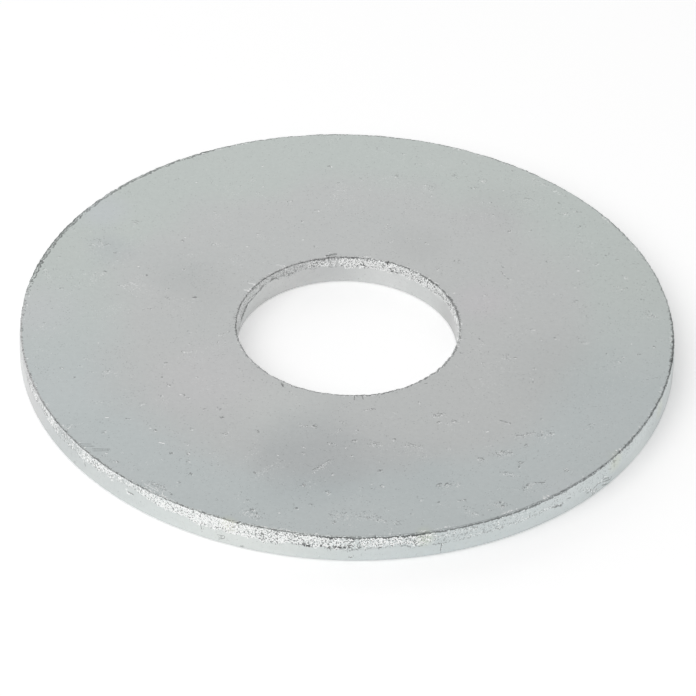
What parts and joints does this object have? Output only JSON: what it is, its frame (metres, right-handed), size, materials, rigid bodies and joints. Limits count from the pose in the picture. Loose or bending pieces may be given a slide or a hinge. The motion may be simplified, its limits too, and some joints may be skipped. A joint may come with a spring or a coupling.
{
  "type": "fender washer",
  "caption": "Flat round washer of thin sheet steel, wide for its bore, with a punched bore and a blanked rim.",
  "frame": {"origin": "centre of the bore, at the level of the lower face, the face with the rolled edges", "axes": "+Z along the bore axis, from the lower face with the rolled edges to the upper face with the torn edges; +X to the right and +Y away as the picture is seen"},
  "size_m": [0.025, 0.025, 0.0012],
  "materials": {
    "zinc_plate": "bright zinc plate on steel, satin, slightly cloudy, with grainy torn edges"
  },
  "bodies": {
    "root": {"washer": "zinc_plate"}
  },
  "joints": []
}
